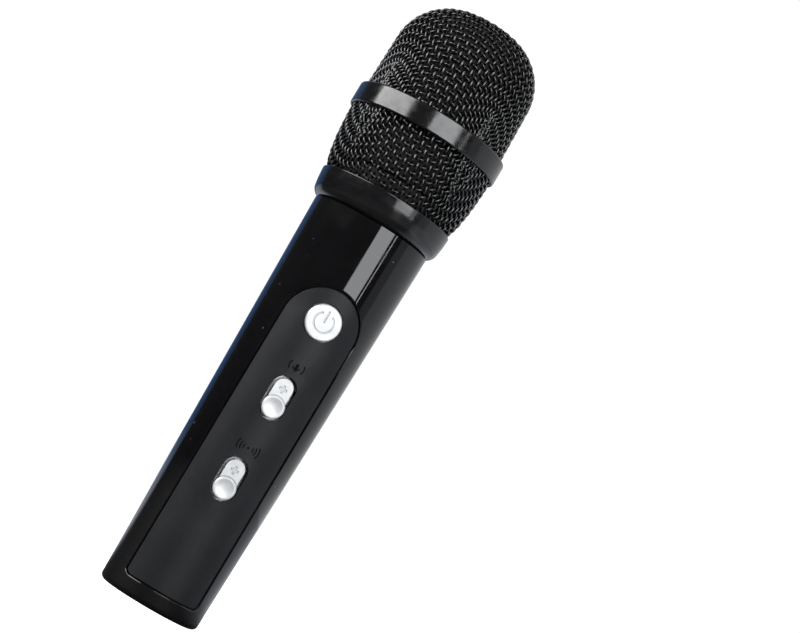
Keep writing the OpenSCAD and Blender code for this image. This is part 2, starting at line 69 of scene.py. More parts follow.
def make_camera():
    """The camera stands low in front and a little to the left, rolled so that the head leans right."""
    data = bpy.data.cameras.new("camera")
    data.lens = 92.6
    data.sensor_width = 36
    data.clip_start = 0.01
    data.clip_end = 50
    camera = bpy.data.objects.new("camera", data)
    camera.location = polar(-6.94, 0.7335, 0.0568)
    aim = Vector((0.0248, -0.0039, 0.1327))
    roll = Quaternion((0, 0, 1), math.radians(30.6))
    camera.rotation_mode = "QUATERNION"
    camera.rotation_quaternion = (aim - camera.location).to_track_quat("-Z", "Y") @ roll
    bpy.context.scene.collection.objects.link(camera)
    bpy.context.scene.camera = camera


def softbox(name, azimuths, heights, distance, radiance, colour=(1, 1, 1), lean=0):
    """A rectangular light round the microphone, from one azimuth to the other. It stands upright,
    or leans to its own left by lean degrees."""
    middle = (azimuths[0] + azimuths[1]) / 2
    data = bpy.data.lights.new(name, "AREA")
    data.shape = "RECTANGLE"
    data.size = 2 * distance * math.tan(math.radians(azimuths[1] - azimuths[0]) / 2)
    data.size_y = heights[1] - heights[0]
    data.energy = radiance * math.pi * data.size * data.size_y
    data.color = colour
    light = bpy.data.objects.new(name, data)
    light.location = polar(middle, distance, (heights[0] + heights[1]) / 2)
    level = Vector((light.location.x, light.location.y, 0))
    light.rotation_mode = "QUATERNION"
    light.rotation_quaternion = level.to_track_quat("Z", "Y") @ Quaternion((0, 0, 1), math.radians(lean))
    bpy.context.scene.collection.objects.link(light)
    return light


def make_lights():
    """A key softbox in two parts, a slit of light beside it, a softbox on the left, and dim cards."""
    softbox("key_low", (7.5, 36), (0.13, 0.33), 1.2, 5.8, (0.96, 0.98, 1.0))
    softbox("key_high", (-10, 31), (0.335, 1.05), 1.2, 6.6, (0.97, 0.985, 1.0))
    softbox("strip_light", (43.2, 44.4), (0.08, 0.9), 1.2, 9.0, lean=-12)
    softbox("left_softbox", (-101, -45), (0.365, 1.25), 1.2, 8.5)
    softbox("right_wall", (72, 162), (0.0, 1.8), 1.3, 0.64, (0.95, 0.975, 1.0))
    softbox("right_edge", (54, 72), (0.0, 1.8), 1.3, 0.33, (0.93, 0.965, 1.0))
    softbox("cool_card", (-178, -138), (0.0, 1.4), 1.3, 0.30, (0.10, 0.40, 1.0))


def make_world():
    """A pale room: white where the camera looks straight at it, and dimmer as a light."""
    world = bpy.data.worlds.new("room")
    bpy.context.scene.world = world
    world.use_nodes = True
    nodes, links = world.node_tree.nodes, world.node_tree.links
    nodes.clear()
    coords = nodes.new("ShaderNodeTexCoord")
    split = nodes.new("ShaderNodeSeparateXYZ")
    links.new(coords.outputs["Generated"], split.inputs[0])
    height = nodes.new("ShaderNodeMapRange")
    height.inputs["From Min"].default_value = -0.1
    height.inputs["From Max"].default_value = 1.0
    height.inputs["To Min"].default_value = 0.03
    height.inputs["To Max"].default_value = 0.25
    links.new(split.outputs["Z"], height.inputs["Value"])
    dim = nodes.new("ShaderNodeBackground")
    links.new(height.outputs["Result"], dim.inputs["Strength"])
    white = nodes.new("ShaderNodeBackground")
    white.inputs["Strength"].default_value = 1.3
    path = nodes.new("ShaderNodeLightPath")
    mix = nodes.new("ShaderNodeMixShader")
    links.new(path.outputs["Is Camera Ray"], mix.inputs["Fac"])
    links.new(dim.outputs[0], mix.inputs[1])
    links.new(white.outputs[0], mix.inputs[2])
    output = nodes.new("ShaderNodeOutputWorld")
    links.new(mix.outputs[0], output.inputs["Surface"])
    bpy.context.scene.view_settings.view_transform = "Standard"


def make_floor():
    """A wide pale disc that the microphone stands on. Glossy parts see it dark, except on
    their right, where it stays pale."""
    mesh = bpy.data.meshes.new("floor")
    form = bmesh.new()
    bmesh.ops.create_circle(form, cap_ends=True, radius=6, segments=96)
    form.to_mesh(mesh)
    form.free()
    floor = bpy.data.objects.new("floor", mesh)
    floor.location.z = -0.00002
    bpy.context.scene.collection.objects.link(floor)
    material, nodes, links, shader = new_material("pale_floor")
    shader.inputs["Roughness"].default_value = 0.8
    path = nodes.new("ShaderNodeLightPath")
    turned = nodes.new("ShaderNodeMapping")
    turned.inputs["Rotation"].default_value = (0, 0, math.radians(-45))
    links.new(place(nodes), turned.inputs["Vector"])
    split = nodes.new("ShaderNodeSeparateXYZ")
    links.new(turned.outputs["Vector"], split.inputs[0])
    right = span(nodes, links, split.outputs["X"], (0.01, 0.12), (0, 1))
    mirrored = blend_colours(nodes, links, right, (0.03, 0.03, 0.03), (0.8, 0.83, 0.88))
    seen = blend_colours(nodes, links, path.outputs["Is Glossy Ray"], (0.93, 0.93, 0.93), mirrored)
    links.new(seen, shader.inputs["Base Color"])
    links.new(span(nodes, links, path.outputs["Is Camera Ray"], (0, 1), (0, 0.9)), shader.inputs["Emission Strength"])
    shader.inputs["Emission Color"].default_value = (1, 1, 1, 1)
    mesh.materials.append(material)


# ---------------------------------------------------------------- material helpers


def new_material(name):
    """An empty node material: (material, nodes, links, its Principled shader)."""
    material = bpy.data.materials.new(name)
    material.use_nodes = True
    nodes, links = material.node_tree.nodes, material.node_tree.links
    return material, nodes, links, nodes["Principled BSDF"]


def place(nodes):
    """The piece's own coordinates, in metres."""
    return nodes.new("ShaderNodeTexCoord").outputs["Object"]


def noise(nodes, links, size, detail=2.0, where=None):
    """Soft noise whose features are about this size, in metres."""
    made = nodes.new("ShaderNodeTexNoise")
    made.inputs["Scale"].default_value = 1 / size
    made.inputs["Detail"].default_value = detail
    links.new(where or place(nodes), made.inputs["Vector"])
    return made.outputs["Fac"]


def cells(nodes, links, size, feature="F1"):
    """Distance to the nearest of scattered points that are about this far apart."""
    made = nodes.new("ShaderNodeTexVoronoi")
    made.feature = feature
    made.inputs["Scale"].default_value = 1 / size
    links.new(place(nodes), made.inputs["Vector"])
    return made.outputs["Distance"]


def span(nodes, links, value, source, target):
    """Maps a value from one range to another, and clamps it."""
    made = nodes.new("ShaderNodeMapRange")
    for name, number in zip(("From Min", "From Max", "To Min", "To Max"), (*source, *target)):
        made.inputs[name].default_value = number
    links.new(value, made.inputs["Value"])
    return made.outputs["Result"]


def crevices(nodes, reach):
    """1 on open surfaces, less in corners and gaps narrower than reach."""
    made = nodes.new("ShaderNodeAmbientOcclusion")
    made.samples = 8
    made.inputs["Distance"].default_value = reach
    return made.outputs["AO"]


def blend_colours(nodes, links, share, first, second):
    """A colour between two, where each is a colour or another node's output."""
    made = nodes.new("ShaderNodeMix")
    made.data_type = "RGBA"
    links.new(share, made.inputs["Factor"])
    for socket, colour in ((made.inputs["A"], first), (made.inputs["B"], second)):
        if isinstance(colour, tuple):
            socket.default_value = (*colour, 1)
        else:
            links.new(colour, socket)
    return made.outputs["Result"]


def bump(nodes, links, shader, height, depth, edge=0.0):
    """Raises the surface by up to depth metres where height is 1, and rounds its edges off by edge."""
    made = nodes.new("ShaderNodeBump")
    made.inputs["Distance"].default_value = depth
    made.inputs["Strength"].default_value = 1
    links.new(height, made.inputs["Height"])
    if edge:
        rounded = nodes.new("ShaderNodeBevel")
        rounded.inputs["Radius"].default_value = edge
        links.new(rounded.outputs["Normal"], made.inputs["Normal"])
    links.new(made.outputs["Normal"], shader.inputs["Normal"])


def grained(name, dark, light, roughness, grain, depth, metallic=0.0, patch=0.012, specular=0.5):
    """A material with cloudy colour, uneven roughness and a fine bump, for moulded or plated parts."""
    material, nodes, links, shader = new_material(name)
    shader.inputs["Metallic"].default_value = metallic
    shader.inputs["Specular IOR Level"].default_value = specular
    cloud = span(nodes, links, noise(nodes, links, patch, 4), (0.35, 0.65), (0, 1))
    links.new(blend_colours(nodes, links, cloud, dark, light), shader.inputs["Base Color"])
    fine = noise(nodes, links, grain, 3)
    links.new(span(nodes, links, fine, (0.3, 0.7), roughness), shader.inputs["Roughness"])
    bump(nodes, links, shader, fine, depth)
    return material


# ---------------------------------------------------------------- materials


def gloss_black():
    """Polished black plastic with faint smears, hairline scuffs and a little dust."""
    material, nodes, links, shader = new_material("gloss_black_plastic")
    specks = span(nodes, links, cells(nodes, links, 3.1 * MM), (0.028, 0.05), (1, 0))
    sparse = span(nodes, links, noise(nodes, links, 7 * MM, 2), (0.52, 0.56), (0, 1))
    dust = nodes.new("ShaderNodeMath")
    dust.operation = "MULTIPLY"
    links.new(specks, dust.inputs[0])
    links.new(sparse, dust.inputs[1])
    shade = span(nodes, links, noise(nodes, links, 20 * MM, 3), (0.3, 0.7), (0, 1))
    body = blend_colours(nodes, links, shade, (0.0016, 0.0016, 0.0019), (0.0028, 0.0028, 0.0032))
    colour = blend_colours(nodes, links, dust.outputs[0], body, (0.42, 0.43, 0.45))
    links.new(colour, shader.inputs["Base Color"])
    smear = span(nodes, links, noise(nodes, links, 11 * MM, 5), (0.42, 0.68), (0.035, 0.11))
    rough = nodes.new("ShaderNodeMath")
    rough.operation = "MAXIMUM"
    links.new(smear, rough.inputs[0])
    links.new(dust.outputs[0], rough.inputs[1])
    links.new(rough.outputs[0], shader.inputs["Roughness"])
    bump(nodes, links, shader, noise(nodes, links, 14 * MM, 1), 0.012 * MM)
    return material


def worn_gloss_black():
    """The black lacquer of the band and the collar, whose reflections have softer edges."""
    material, nodes, links, shader = new_material("gloss_black_lacquer")
    shade = span(nodes, links, noise(nodes, links, 9 * MM, 4), (0.3, 0.7), (0, 1))
    links.new(
        blend_colours(nodes, links, shade, (0.002, 0.002, 0.0024), (0.0045, 0.0045, 0.005)),
        shader.inputs["Base Color"],
    )
    shader.inputs["Specular IOR Level"].default_value = 0.6
    smear = noise(nodes, links, 2.6 * MM, 5)
    links.new(span(nodes, links, smear, (0.3, 0.7), (0.12, 0.22)), shader.inputs["Roughness"])
    bump(nodes, links, shader, noise(nodes, links, 5 * MM, 2), 0.02 * MM)
    return material


def panel_black():
    """Charcoal plastic with a fine spark-eroded grain."""
    material, nodes, links, shader = new_material("panel_grained_plastic")
    cloud = span(nodes, links, noise(nodes, links, 16 * MM, 4), (0.3, 0.7), (0, 1))
    fine = noise(nodes, links, 0.22 * MM, 3)
    base = blend_colours(nodes, links, cloud, (0.0045, 0.0048, 0.0062), (0.0075, 0.0079, 0.0096))
    speckled = blend_colours(
        nodes, links, span(nodes, links, fine, (0.55, 0.75), (0, 0.5)), base, (0.016, 0.017, 0.020)
    )
    links.new(speckled, shader.inputs["Base Color"])
    shader.inputs["Specular IOR Level"].default_value = 0.26
    links.new(span(nodes, links, fine, (0.3, 0.7), (0.38, 0.52)), shader.inputs["Roughness"])
    bump(nodes, links, shader, fine, 0.02 * MM, 0.14 * MM)
    return material


def silver_plate():
    """Satin silver plating on the button, the knobs and the slider plates, with painted shade darkening its corners
    and gaps.
    """
    material, nodes, links, shader = new_material("satin_silver_plating")
    shader.inputs["Metallic"].default_value = 0.5
    cloud = span(nodes, links, noise(nodes, links, 3 * MM, 3), (0.3, 0.7), (0, 1))
    plating = blend_colours(nodes, links, cloud, (0.465, 0.47, 0.48), (0.545, 0.55, 0.555))
    # painted shade: the plating's colour goes near black in corners and gaps narrower than half a millimetre
    unshaded = span(nodes, links, crevices(nodes, 0.5 * MM), (0.45, 0.85), (0, 1))
    links.new(blend_colours(nodes, links, unshaded, (0.03, 0.03, 0.032), plating), shader.inputs["Base Color"])
    fine = noise(nodes, links, 0.12 * MM, 3)
    links.new(span(nodes, links, fine, (0.3, 0.7), (0.36, 0.48)), shader.inputs["Roughness"])
    bump(nodes, links, shader, fine, 0.006 * MM, 0.12 * MM)
    return material


def grille_paint():
    """Black paint on the woven wire, worn in patches on its crests. Painted shade darkens it and a rougher finish
    dulls it where it dips under the crossing wires; where it bulges out it is lighter as a painted highlight.
    """
    material, nodes, links, shader = new_material("grille_black_paint")
    crest = nodes.new("ShaderNodeAttribute")
    crest.attribute_name = "crest"
    high = span(nodes, links, crest.outputs["Fac"], (0.45, 0.8), (0, 1))
    worn = span(nodes, links, noise(nodes, links, 0.9 * MM, 4), (0.60, 0.78), (0, 0.5))
    bright = blend_colours(nodes, links, worn, (0.006, 0.006, 0.0066), (0.03, 0.03, 0.032))
    # painted shade and highlight: the colour goes nearly black where the wire dips and lighter where it bulges out;
    # only the patchy wear on the crests is real
    colour = blend_colours(nodes, links, high, (0.0006, 0.0006, 0.0007), bright)
    links.new(colour, shader.inputs["Base Color"])
    # painted shade: the reflections are also turned almost off where the wire dips
    links.new(span(nodes, links, high, (0, 1), (0.02, 1.0)), shader.inputs["Specular IOR Level"])
    fine = noise(nodes, links, 0.16 * MM, 2)
    dull = span(nodes, links, high, (0, 1), (0.5, 0.0))
    rough = nodes.new("ShaderNodeMath")
    rough.operation = "ADD"
    links.new(span(nodes, links, fine, (0.3, 0.7), (0.19, 0.31)), rough.inputs[0])
    links.new(dull, rough.inputs[1])
    links.new(rough.outputs[0], shader.inputs["Roughness"])
    bump(nodes, links, shader, fine, 0.012 * MM)
    return material


def foam_black():
    """Open-cell foam: matte, with a pore every half millimetre, each darker towards its centre as painted shade."""
    material, nodes, links, shader = new_material("foam_open_cell")
    pores = cells(nodes, links, 0.55 * MM)
    # painted shade: the foam's colour goes darker towards each pore's centre, where the bump sinks it
    shade = span(nodes, links, pores, (0.1, 0.6), (0, 1))
    links.new(
        blend_colours(nodes, links, shade, (0.0008, 0.0008, 0.0008), (0.004, 0.004, 0.0042)),
        shader.inputs["Base Color"],
    )
    rough = span(nodes, links, noise(nodes, links, 1.5 * MM), (0.3, 0.7), (0.85, 1.0))
    links.new(rough, shader.inputs["Roughness"])
    bump(nodes, links, shader, pores, 0.2 * MM)
    return material


def board_green():
    """Solder mask with the copper tracks that show faintly through it."""
    material, nodes, links, shader = new_material("board_solder_mask")
    tracks = nodes.new("ShaderNodeTexBrick")
    tracks.inputs["Scale"].default_value = 160
    tracks.inputs["Mortar Size"].default_value = 0.03
    links.new(place(nodes), tracks.inputs["Vector"])
    shade = span(nodes, links, tracks.outputs["Fac"], (0, 1), (0, 1))
    links.new(
        blend_colours(nodes, links, shade, (0.012, 0.10, 0.05), (0.03, 0.18, 0.08)),
        shader.inputs["Base Color"],
    )
    rough = span(nodes, links, noise(nodes, links, 2 * MM), (0.3, 0.7), (0.25, 0.4))
    links.new(rough, shader.inputs["Roughness"])
    bump(nodes, links, shader, shade, 0.03 * MM)
    return material


def plain_materials():
    """The materials of hidden and small pieces, by the record's slot."""
    return {
        "mark_black": grained(
            "mark_ink", (0.0006, 0.0006, 0.0006), (0.0014, 0.0014, 0.0014), (0.6, 0.75), 0.1 * MM, 0.01 * MM,
            specular=0.08,
        ),
        "steel": grained(
            "zinc_plated_steel", (0.55, 0.56, 0.58), (0.68, 0.69, 0.70), (0.25, 0.4), 0.3 * MM, 0.01 * MM, 1.0
        ),
        "tin_can": grained(
            "tinned_sheet", (0.60, 0.61, 0.62), (0.74, 0.75, 0.76), (0.22, 0.38), 0.5 * MM, 0.01 * MM, 1.0
        ),
        "frame_plastic": grained(
            "frame_plastic", (0.004, 0.004, 0.0045), (0.008, 0.008, 0.009), (0.5, 0.7), 0.3 * MM, 0.03 * MM,
            specular=0.2,
        ),
        "chip": grained(
            "chip_moulding", (0.012, 0.012, 0.013), (0.03, 0.03, 0.032), (0.5, 0.7), 0.2 * MM, 0.02 * MM
        ),
        "connector": grained(
            "natural_nylon", (0.68, 0.65, 0.56), (0.80, 0.77, 0.68), (0.35, 0.5), 0.3 * MM, 0.02 * MM
        ),
        "brass": grained(
            "brass", (0.62, 0.46, 0.20), (0.80, 0.62, 0.30), (0.2, 0.35), 0.3 * MM, 0.01 * MM, 1.0
        ),
        "cell_wrap": grained(
            "cell_sleeve", (0.03, 0.14, 0.40), (0.05, 0.20, 0.52), (0.15, 0.3), 1.5 * MM, 0.03 * MM
        ),
        "wire": grained(
            "lead_insulation", (0.38, 0.02, 0.025), (0.50, 0.03, 0.04), (0.35, 0.5), 0.4 * MM, 0.02 * MM
        ),
        "rubber": grained(
            "moulded_rubber", (0.010, 0.010, 0.010), (0.024, 0.024, 0.024), (0.6, 0.8), 0.3 * MM, 0.03 * MM
        ),
        "magnet": grained(
            "ground_yoke", (0.22, 0.23, 0.25), (0.36, 0.37, 0.39), (0.3, 0.45), 0.25 * MM, 0.02 * MM, 1.0
        ),
        "capsule": grained(
            "capsule_shell", (0.035, 0.035, 0.04), (0.06, 0.06, 0.065), (0.35, 0.5), 0.3 * MM, 0.02 * MM
        ),
        "capsule_face": grained(
            "punched_sheet", (0.58, 0.59, 0.61), (0.72, 0.73, 0.75), (0.25, 0.4), 0.2 * MM, 0.01 * MM, 1.0
        ),
    }


def make_materials():
    """One finished material for each of the record's slots."""
    return {
        "gloss_black": gloss_black(),
        "worn_gloss": worn_gloss_black(),
        "panel_black": panel_black(),
        "silver": silver_plate(),
        "grille_black": grille_paint(),
        "foam": foam_black(),
        "circuit_board": board_green(),
        **plain_materials(),
    }


def dress_cad_nodes(materials):
    """Gives every CAD node the material of its slot."""
    for part in frame["record"]["subparts"]:
        node = frame["nodes"][part["node"]]
        if not node.material_slots:
            node.data.materials.append(None)
        for place_for in node.material_slots:
            place_for.material = materials[part["material_slot"]]


# ---------------------------------------------------------------- mesh helpers


def finish_piece(name, points, faces, material, body, node):
    """Makes a shaded mesh that rides on a body and stands for a CAD node."""
    mesh = bpy.data.meshes.new(name)
    mesh.from_pydata([tuple(p) for p in points], [], faces)
    form = bmesh.new()
    form.from_mesh(mesh)
    bmesh.ops.remove_doubles(form, verts=form.verts, dist=0.0005 * MM)
    bmesh.ops.recalc_face_normals(form, faces=form.faces)
    form.to_mesh(mesh)
    form.free()
    mesh.shade_smooth()
    mesh.set_sharp_from_angle(angle=math.radians(40))
    mesh.materials.append(material)
    piece = bpy.data.objects.new(name, mesh)
    bpy.context.scene.collection.objects.link(piece)
    weighted = piece.modifiers.new("even_shading", "WEIGHTED_NORMAL")
    weighted.keep_sharp = True
    weighted.weight = 100
    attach(piece, body)
    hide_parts(node)
    return piece


def grid_faces(rows, columns, closed=False, start=0):
    """Quads between neighbouring rows of a grid of points, where closed joins the last row to the first."""
    faces = []
    for i in range(rows if closed else rows - 1):
        j = (i + 1) % rows
        for k in range(columns - 1):
            a, b = start + i * columns + k, start + j * columns + k
            faces.append((a, b, b + 1, a + 1))
    return faces


def fillet(corners, steps=6):
    """A closed outline whose corners, each (radius, height, rounding), are rounded off."""
    points = []
    for i, (r, z, rounding) in enumerate(corners):
        here = Vector((r, z))
        before = (Vector(corners[i - 1][:2]) - here).normalized()
        after = (Vector(corners[(i + 1) % len(corners)][:2]) - here).normalized()
        if rounding == 0:
            points.append(tuple(here))
            continue
        half = before.angle(after) / 2
        reach = rounding / math.tan(half)
        centre = here + (before + after).normalized() * (rounding / math.sin(half))
        first, last = here + before * reach - centre, here + after * reach - centre
        turn = first.angle_signed(last)
        for k in range(steps + 1):
            a = -turn * k / steps
            points.append(
                (
                    centre.x + first.x * math.cos(a) - first.y * math.sin(a),
                    centre.y + first.x * math.sin(a) + first.y * math.cos(a),
                )
            )
    return points


def lathe(outline, segments=288):
    """Points and quads of a closed outline turned round the axis."""
    points = []
    for i in range(segments):
        a = 2 * math.pi * i / segments
        ring = [(r * math.cos(a), r * math.sin(a), z) for r, z in outline]
        points += ring + [ring[0]]
    return points, grid_faces(segments, len(outline) + 1, closed=True)


def ring_radius(node, height, tolerance=0.4 * MM):
    """The largest radius of a CAD node's vertices near one height."""
    found = [
        math.hypot(v.co.x, v.co.y)
        for v in frame["nodes"][node].data.vertices
        if abs(v.co.z - height) < tolerance
    ]
    return max(found)


# ---------------------------------------------------------------- barrel


class Barrel:
    """The tapered barrel's sizes, read from the CAD frame."""

    foot_round = 2 * MM
    wall = 2.2 * MM
    gap = 0.45 * MM
    edge = 0.42 * MM
    lip = 1.3 * MM

    def __init__(self):
        low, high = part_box("barrel_shell")
        self.top_z = high.z
        self.top_r = high.x
        self.low_z = self.foot_round
        low_r = ring_radius("barrel_shell", self.foot_round)
        self.taper = (self.top_r - low_r) / (self.top_z - self.foot_round)
        self.foot_r = self.top_r - self.taper * self.top_z
        panel_low, panel_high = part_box("control_panel")
        self.panel_half = panel_high.x - self.lip
        self.panel_low_z = panel_low.z + self.lip
        self.arc_z = panel_high.z - self.lip - self.panel_half
        self.corner = 1.8 * MM

    def radius(self, z, depth=0.0):
        return self.foot_r + self.taper * z - depth

    def on_surface(self, x, z, depth=0.0):
        """The point on the front of the barrel at this x and z, a little below its surface."""
        r = self.radius(z, depth)
        return (x, -math.sqrt(max(r * r - x * x, 0)), z)

    def window(self, grow, arc_steps, side_steps, low_steps):
        """The panel's outline in x and z, anticlockwise from its right side, larger by grow."""
        half = self.panel_half + grow
        corner = self.corner + grow
        low = self.panel_low_z - grow
        points = []
        for k in range(arc_steps):
            a = math.pi * k / arc_steps
            points.append((half * math.cos(a), self.arc_z + half * math.sin(a)))
        drop = self.arc_z - low - corner
        for k in range(side_steps):
            points.append((-half, self.arc_z - drop * k / side_steps))
        corner_steps = low_steps // 6
        flat_steps = low_steps - 2 * corner_steps
        for k in range(corner_steps):
            a = math.pi + 0.5 * math.pi * k / corner_steps
            points.append((corner - half + corner * math.cos(a), low + corner + corner * math.sin(a)))
        for k in range(flat_steps):
            points.append(((half - corner) * (2 * k / flat_steps - 1), low))
        for k in range(corner_steps):
            a = 1.5 * math.pi + 0.5 * math.pi * k / corner_steps
            points.append((half - corner + corner * math.cos(a), low + corner + corner * math.sin(a)))
        for k in range(side_steps):
            points.append((half, low + corner + drop * k / side_steps))
        return points


def barrel_shell(barrel, material):
    """One closed shell: outside, rounded window edge, inside, foot and the charging hole."""
    arc, side, low = 96, 72, 96
    steps = 56
    count = arc + 2 * side + low
    low_z = barrel.foot_round

    def frame_point(i):
        """Where column i ends on the unrolled barrel: azimuth and height."""
        if i <= arc:
            return math.pi * (1 - 2 * i / arc), barrel.top_z
        if i <= arc + side:
            return -math.pi, barrel.top_z + (low_z - barrel.top_z) * (i - arc) / side
        if i <= arc + side + low:
            return math.pi * (2 * (i - arc - side) / low - 1), low_z
        return math.pi, low_z + (barrel.top_z - low_z) * (i - arc - side - low) / side

    def skin(depth, grow):
        """A grid on the barrel's surface at one depth, from the window's edge round to the back."""
        points = []
        for i, (x, z) in enumerate(barrel.window(grow, arc, side, low)):
            start = math.asin(x / barrel.radius(z, depth))
            end, end_z = frame_point(i)
            for k in range(steps + 1):
                share = k / steps
                azimuth = start + (end - start) * share
                height = z + (end_z - z) * share
                r = barrel.radius(height, depth)
                points.append((r * math.sin(azimuth), -r * math.cos(azimuth), height))
        return points

    points = skin(0, barrel.gap + barrel.edge)
    faces = grid_faces(count, steps + 1, closed=True)
    faces += grid_faces(count, steps + 1, closed=True, start=len(points))
    points += skin(barrel.wall, barrel.gap)

    # window edge: a small chamfer with rounded ends, then the wall through the shell
    chamfer = ((0, 1), (0.03, 0.86), (0.48, 0.12), (0.62, 0.02), (0.81, 0))
    rings = [(barrel.edge * depth, barrel.gap + barrel.edge * grow) for depth, grow in chamfer]
    rings.append((barrel.wall, barrel.gap))
    outlines = [barrel.window(grow, arc, side, low) for depth, grow in rings]
    faces += grid_faces(count, len(rings), closed=True, start=len(points))
    for i in range(count):
        for (depth, grow), outline in zip(rings, outlines):
            points.append(barrel.on_surface(*outline[i], depth))

    # top edge
    faces += grid_faces(arc + 1, 2, start=len(points))
    for i in range(arc + 1):
        azimuth = frame_point(i)[0]
        for depth in (0, barrel.wall):
            r = barrel.radius(barrel.top_z, depth)
            points.append((r * math.sin(azimuth), -r * math.cos(azimuth), barrel.top_z))

    # foot: rounded edge, flat bottom, charging hole, floor and the inside corner
    socket_low, socket_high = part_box("charge_socket")
    hole_half = (socket_high.x - socket_low.x) / 2 + 0.3 * MM
    hole_r = (socket_high.y - socket_low.y) / 2 + 0.3 * MM
    hole_y = (socket_high.y + socket_low.y) / 2
    arc_r = barrel.radius(low_z) - barrel.foot_round
    profile = []
    for k in range(9):
        a = 0.5 * math.pi * k / 8
        profile.append(
            (arc_r + barrel.foot_round * math.cos(a), barrel.foot_round * (1 - math.sin(a)))
        )
    inner_r = barrel.radius(barrel.wall, barrel.wall)
    columns = len(profile) + 5
    faces += grid_faces(low + 1, columns, start=len(points))
    for i in range(low + 1):
        azimuth = frame_point(arc + side + i)[0]
        across, along = math.sin(azimuth), -math.cos(azimuth)
        straight = hole_half - hole_r
        hole_x = max(-straight, min(straight, straight * 1.6 * across))
        fall = math.hypot(hole_half * across, hole_r * along)
        hole = (
            hole_x + hole_r * (hole_half * across / fall if abs(hole_x) == straight else 0),
            hole_y + hole_r * (along if abs(hole_x) == straight else math.copysign(1, along)),
        )
        column = [(r * across, r * along, z) for r, z in profile]
        column += [(9 * MM * across, 9 * MM * along, 0.0), (*hole, 0.0), (*hole, barrel.wall)]
        column += [(inner_r * across, inner_r * along, barrel.wall)]
        r = barrel.radius(low_z, barrel.wall)
        column += [(r * across, r * along, low_z)]
        points += column
    return finish_piece("barrel", points, faces, material, "handle", "barrel_shell")


# ---------------------------------------------------------------- collar and band


def collar_ring(material):
    """Bowl-shaped gloss ring: rounded underside, nearly upright side and a thin rounded lip."""
    low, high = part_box("collar_ring")
    r, z0, z1 = high.x, low.z, high.z
    corners = [
        (r - 5.6 * MM, z0, 0),
        (r - 4.1 * MM, z0, 0.3 * MM),
        (r - 1.08 * MM, z0 + 1.74 * MM, 4 * MM),
        (r - 0.33 * MM, z0 + 6.5 * MM, 25 * MM),
        (r, z1, 0.4 * MM),
        (r - 0.6 * MM, z1, 0.15 * MM),
        (r - 0.85 * MM, z1 - 1 * MM, 0),
        (r - 1.0 * MM, z0 + 4.2 * MM, 0),
        (r - 2.4 * MM, z0 + 4.2 * MM, 0),
        (r - 2.8 * MM, z0 + 2 * MM, 0),
        (r - 5.6 * MM, z0 + 2 * MM, 0),
    ]
    points, faces = lathe(fillet(corners, 12))
    return finish_piece("collar", points, faces, material, "handle", "collar_ring")


def grille_band(material):
    """Gloss ring that clamps the two grilles, with softly rounded edges."""
    low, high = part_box("grille_band")
    r, z0, z1 = high.x, low.z, high.z
    web_low, web_high = z0 + 3.5 * MM, z0 + 4.7 * MM
    corners = [
        (r, z0, 0.6 * MM),
        (r, z1, 0.6 * MM),
        (r - 1.8 * MM, z1, 0.2 * MM),
        (r - 1.8 * MM, web_high, 0),
        (r - 4.4 * MM, web_high, 0),
        (r - 4.4 * MM, web_low, 0),
        (r - 0.7 * MM, web_low, 0),
        (r - 0.7 * MM, z0, 0),
    ]
    points, faces = lathe(fillet(corners))
    return finish_piece("head_band", points, faces, material, "grille_head", "grille_band")


# ---------------------------------------------------------------- woven grilles


class Skin:
    """A surface of revolution that wire cloth is drawn over, given as (radius, height) points
    from the pole outwards. Its centre is a point on the axis that sees all of it."""

    def __init__(self, outline, centre_z):
        line = np.array(outline)
        self.centre = np.array([0.0, 0.0, centre_z])
        steps = np.hypot(*np.diff(line, axis=0).T)
        self.length = np.concatenate([[0], np.cumsum(steps)])
        self.line = line
        angle = np.arctan2(line[:, 1] - centre_z, line[:, 0])
        order = np.argsort(angle)
        self.angle = angle[order]
        self.far = np.hypot(line[:, 0], line[:, 1] - centre_z)[order]
        slope = np.gradient(line, axis=0)
        normal = np.stack([-slope[:, 1], slope[:, 0]], 1)
        normal /= np.hypot(*normal.T)[:, None]
        outward = np.sign((normal * (line - [0, centre_z])).sum(1))
        self.normal = (normal * outward[:, None])[order]

    def at(self, distance, azimuth):
        """Points at a distance from the pole along the surface."""
        r = np.interp(distance, self.length, self.line[:, 0])
        z = np.interp(distance, self.length, self.line[:, 1])
        return np.stack([r * np.sin(azimuth), -r * np.cos(azimuth), z], -1)

    def onto(self, points):
        """Moves points along the line from the centre until they lie on the surface."""
        away = points - self.centre
        flat = np.hypot(away[..., 0], away[..., 1])
        angle = np.arctan2(away[..., 2], flat)
        far = np.interp(angle, self.angle, self.far)
        return self.centre + away * (far / np.linalg.norm(away, axis=-1))[..., None]

    def normals(self, points):
        away = points - self.centre
        flat = np.hypot(away[..., 0], away[..., 1]) + 1e-12
        angle = np.arctan2(away[..., 2], flat)
        out = np.interp(angle, self.angle, self.normal[:, 0])
        up = np.interp(angle, self.angle, self.normal[:, 1])
        made = np.stack([away[..., 0] / flat * out, away[..., 1] / flat * out, up], -1)
        return made / np.linalg.norm(made, axis=-1)[..., None]


